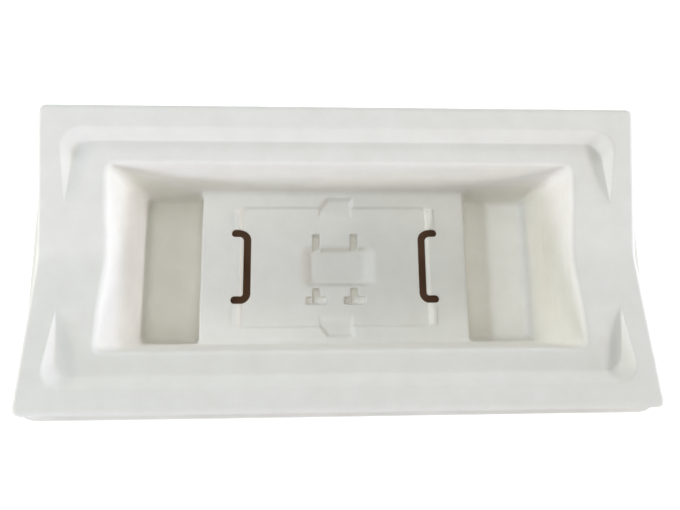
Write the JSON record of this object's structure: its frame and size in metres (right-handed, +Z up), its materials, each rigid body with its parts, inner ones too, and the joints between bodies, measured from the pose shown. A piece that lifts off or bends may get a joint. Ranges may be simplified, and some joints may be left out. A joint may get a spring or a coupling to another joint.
{
  "type": "moulded pulp tray",
  "caption": "One-piece moulded fibre insert tray: skirted flange with a valley across both ends, deep drafted bowl, raised deck with sunk panel and cut slots, and a well at each end.",
  "frame": {"origin": "middle of the footprint, on the plane that the two wells stand on", "axes": "+X along the tray's length, to the right as the picture shows it; +Y to the back; +Z up"},
  "size_m": [0.4134, 0.2086, 0.0754],
  "materials": {
    "pulp": "bleached plant fibre pressed wet in a heated mould, matt and even, with a fine fibre grain"
  },
  "bodies": {
    "root": {"tray": "pulp"}
  },
  "joints": []
}
